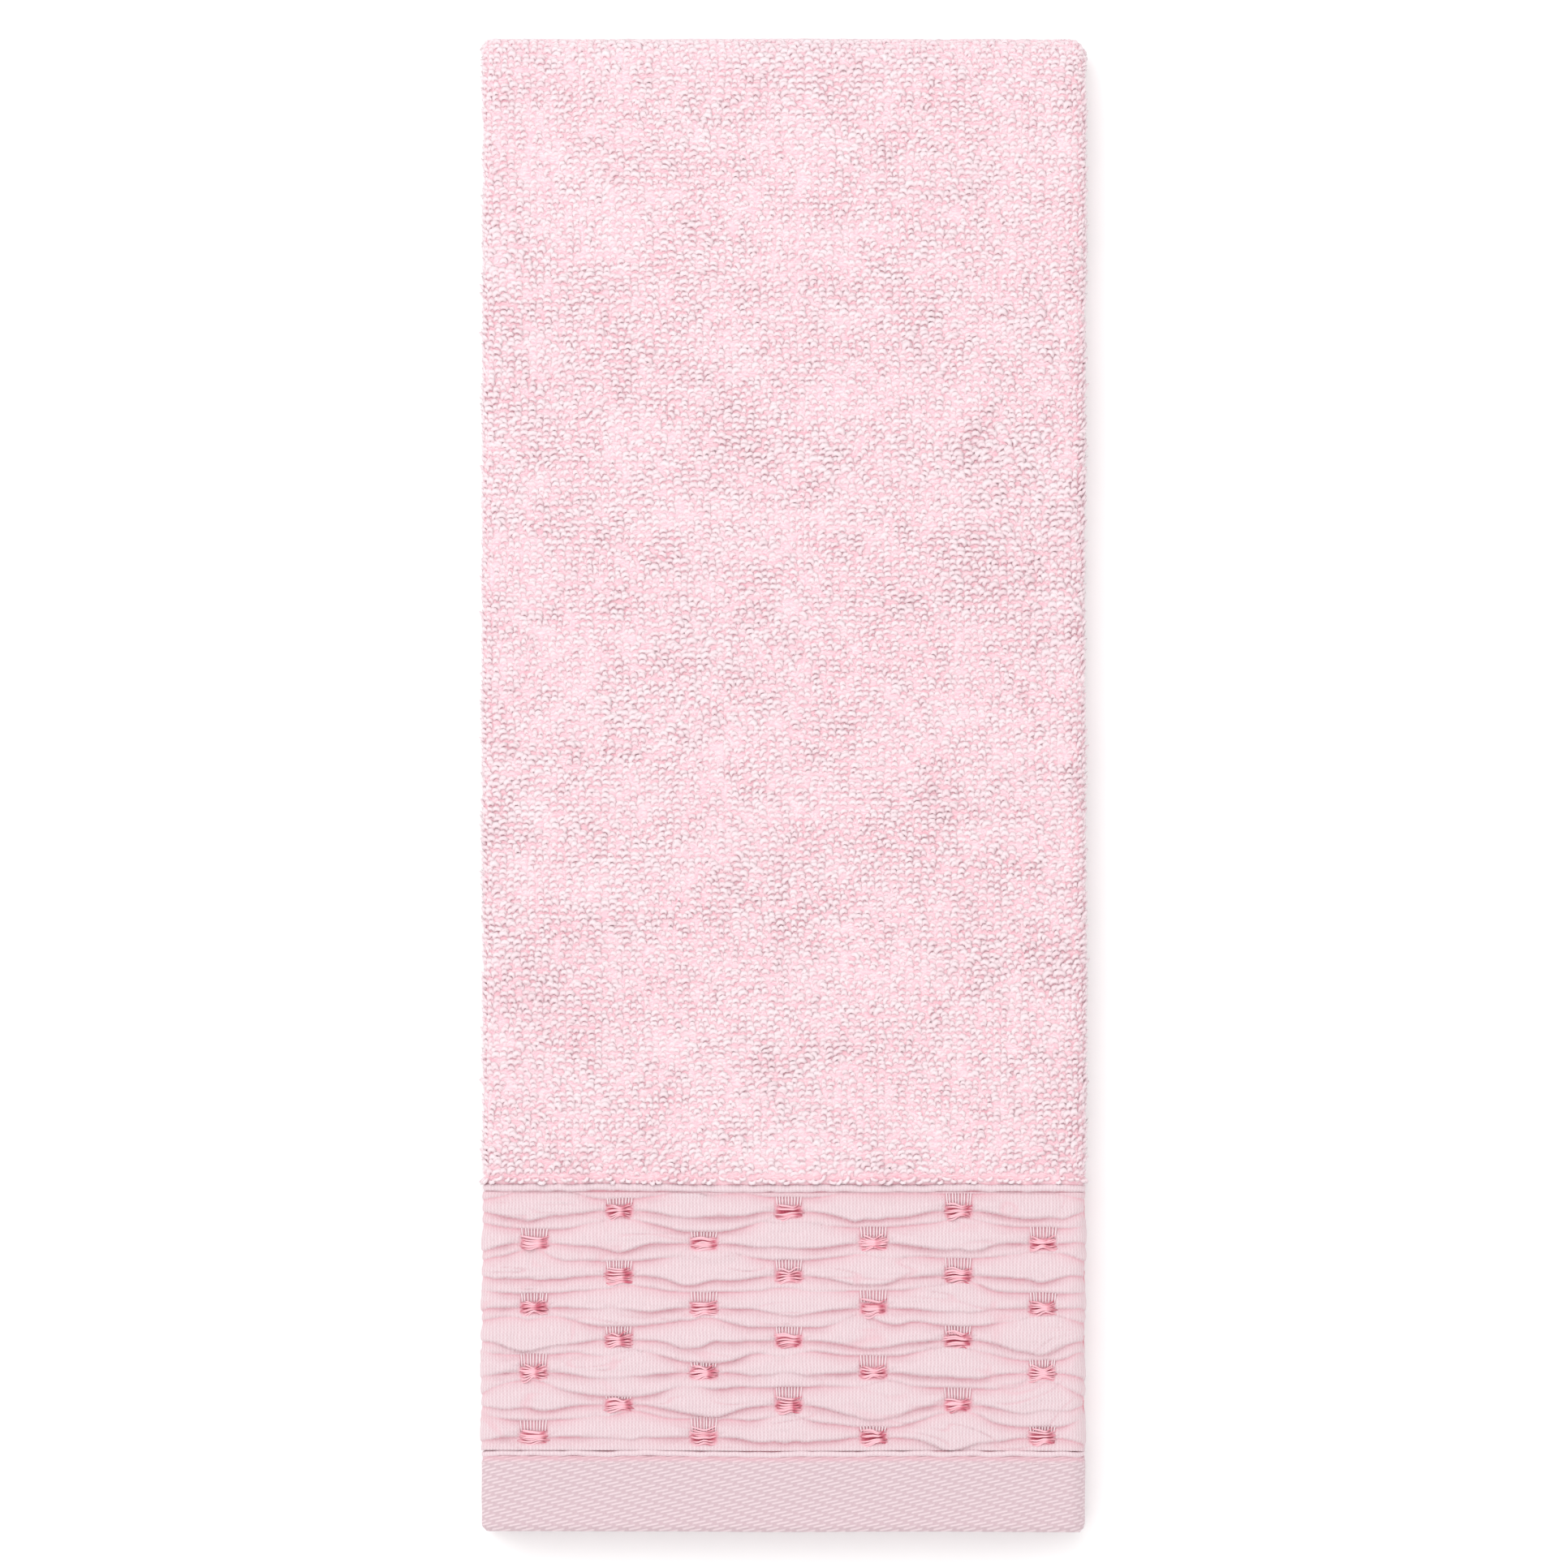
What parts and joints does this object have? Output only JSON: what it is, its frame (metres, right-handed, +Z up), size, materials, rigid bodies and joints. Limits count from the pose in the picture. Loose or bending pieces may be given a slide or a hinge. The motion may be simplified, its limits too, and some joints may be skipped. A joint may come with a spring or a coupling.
{
  "type": "folded hand towel",
  "caption": "Terry hand towel folded in thirds and in half, with a smocked plain-weave border and a flat twill hem at each end; it opens at the fold.",
  "frame": {"origin": "middle of the folded towel's footprint, on the surface that it lies on", "axes": "+X across the folded towel, +Y from the open hem end to the fold, +Z up through the layers"},
  "size_m": [0.1668, 0.4116, 0.0195],
  "materials": {
    "terry": "pale pink cotton terry, cut on no side, matt loops",
    "smocked_cloth": "pale pink plain weave with fine ribs, gathered into puffs",
    "welt": "pale pink rolled ridge of plain weave",
    "twill_hem": "pale pink flat twill with short slanting floats",
    "side_hem": "pale pink turned edge",
    "rose_thread": "rose floats with a soft shine",
    "sewing_thread": "pink polyester sewing thread"
  },
  "bodies": {
    "lower_half": {"lower_centre_panel_terry": "terry", "lower_end_hem": "twill_hem", "lower_end_hem_stitching": "sewing_thread", "lower_gathering_row_1": "rose_thread", "lower_gathering_row_2": "rose_thread", "lower_gathering_row_3": "rose_thread", "lower_gathering_row_4": "rose_thread", "lower_gathering_row_5": "rose_thread", "lower_gathering_row_6": "rose_thread", "lower_gathering_row_7": "rose_thread", "lower_gathering_row_8": "rose_thread", "lower_hem_welt": "welt", "lower_left_flap_terry": "terry", "lower_left_side_hem": "side_hem", "lower_left_side_stitching": "sewing_thread", "lower_right_flap_terry": "terry", "lower_right_side_hem": "side_hem", "lower_right_side_stitching": "sewing_thread", "lower_smocked_border": "smocked_cloth", "lower_terry_welt": "welt"},
    "upper_half": {"upper_centre_panel_terry": "terry", "upper_end_hem": "twill_hem", "upper_end_hem_stitching": "sewing_thread", "upper_gathering_row_1": "rose_thread", "upper_gathering_row_2": "rose_thread", "upper_gathering_row_3": "rose_thread", "upper_gathering_row_4": "rose_thread", "upper_gathering_row_5": "rose_thread", "upper_gathering_row_6": "rose_thread", "upper_gathering_row_7": "rose_thread", "upper_gathering_row_8": "rose_thread", "upper_hem_welt": "welt", "upper_left_flap_terry": "terry", "upper_left_side_hem": "side_hem", "upper_left_side_stitching": "sewing_thread", "upper_right_flap_terry": "terry", "upper_right_side_hem": "side_hem", "upper_right_side_stitching": "sewing_thread", "upper_smocked_border": "smocked_cloth", "upper_terry_welt": "welt"}
  },
  "joints": [
    {"name": "top_fold", "type": "hinge", "parent": "lower_half", "child": "upper_half", "pos_m": [0, 0.2058, 0.00975], "axis": [-1, 0, 0], "range_deg": [0, 180]}
  ]
}
